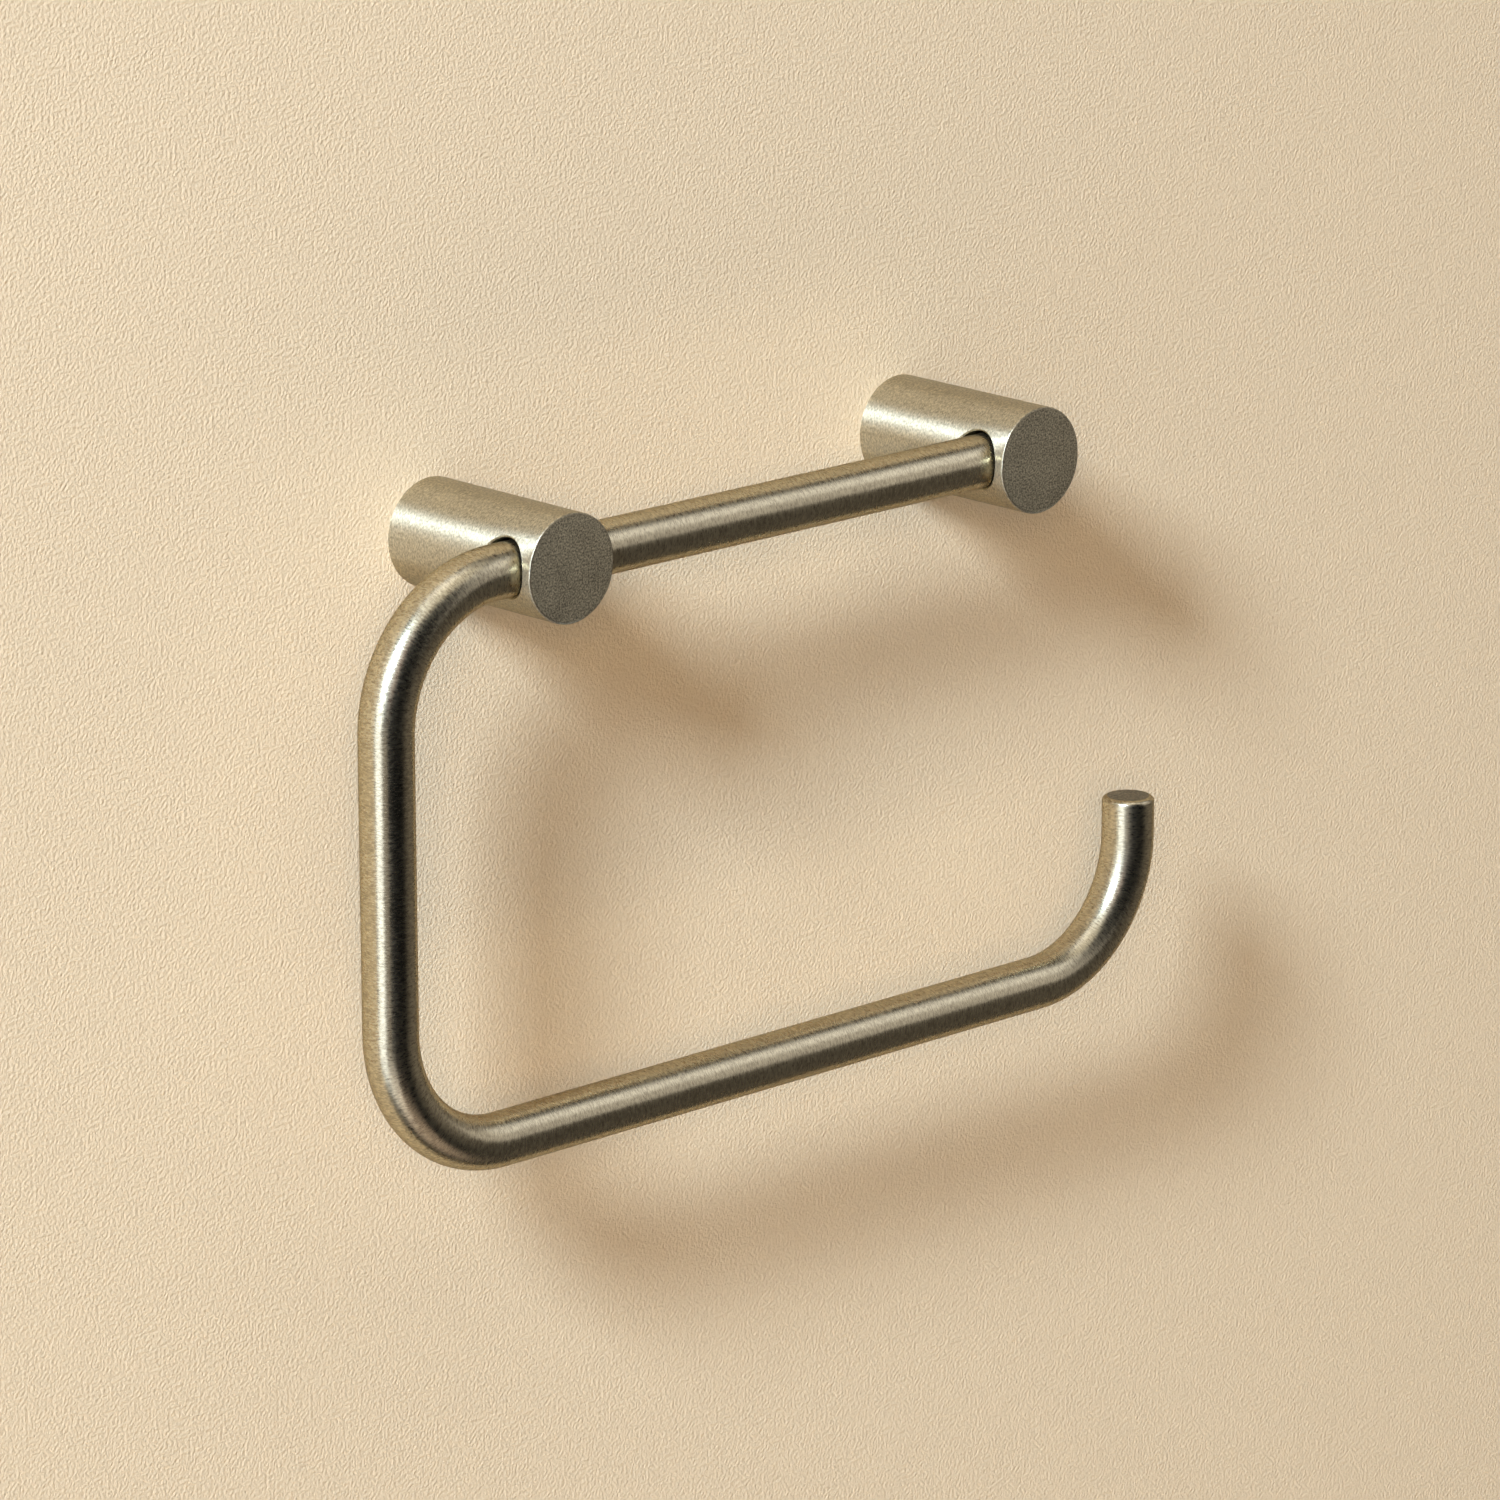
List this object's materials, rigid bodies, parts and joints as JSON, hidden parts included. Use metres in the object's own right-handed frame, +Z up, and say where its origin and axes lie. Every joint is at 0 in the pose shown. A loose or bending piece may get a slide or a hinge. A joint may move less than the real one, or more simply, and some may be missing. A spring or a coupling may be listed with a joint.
{
  "type": "toilet paper holder",
  "caption": "Wall-mounted toilet paper holder: a bent round bar hangs as an open hook from a pair of plain round posts and swings about its own top run.",
  "frame": {"origin": "on the wall plane, midway between the two posts' axes", "axes": "+X to the right along the wall, +Y into the wall, so -Y out into the room, +Z up"},
  "size_m": [0.156, 0.03, 0.095],
  "materials": {
    "bar_steel": "brushed round the bar",
    "post_steel": "satin, bead-blasted front face",
    "boss_steel": "as turned",
    "screw_steel": "plain"
  },
  "bodies": {
    "posts": {"left_post": "post_steel", "right_post": "post_steel", "left_wall_boss": "boss_steel", "right_wall_boss": "boss_steel", "left_lock_screw": "screw_steel", "right_lock_screw": "screw_steel", "bar_keeper_screw": "screw_steel"},
    "bar": {"roll_bar": "bar_steel"}
  },
  "joints": [
    {"name": "bar_swing", "type": "hinge", "parent": "posts", "child": "bar", "pos_m": [0, -0.024, 0], "axis": [-1, 0, 0], "range_deg": [-13, 193]}
  ]
}
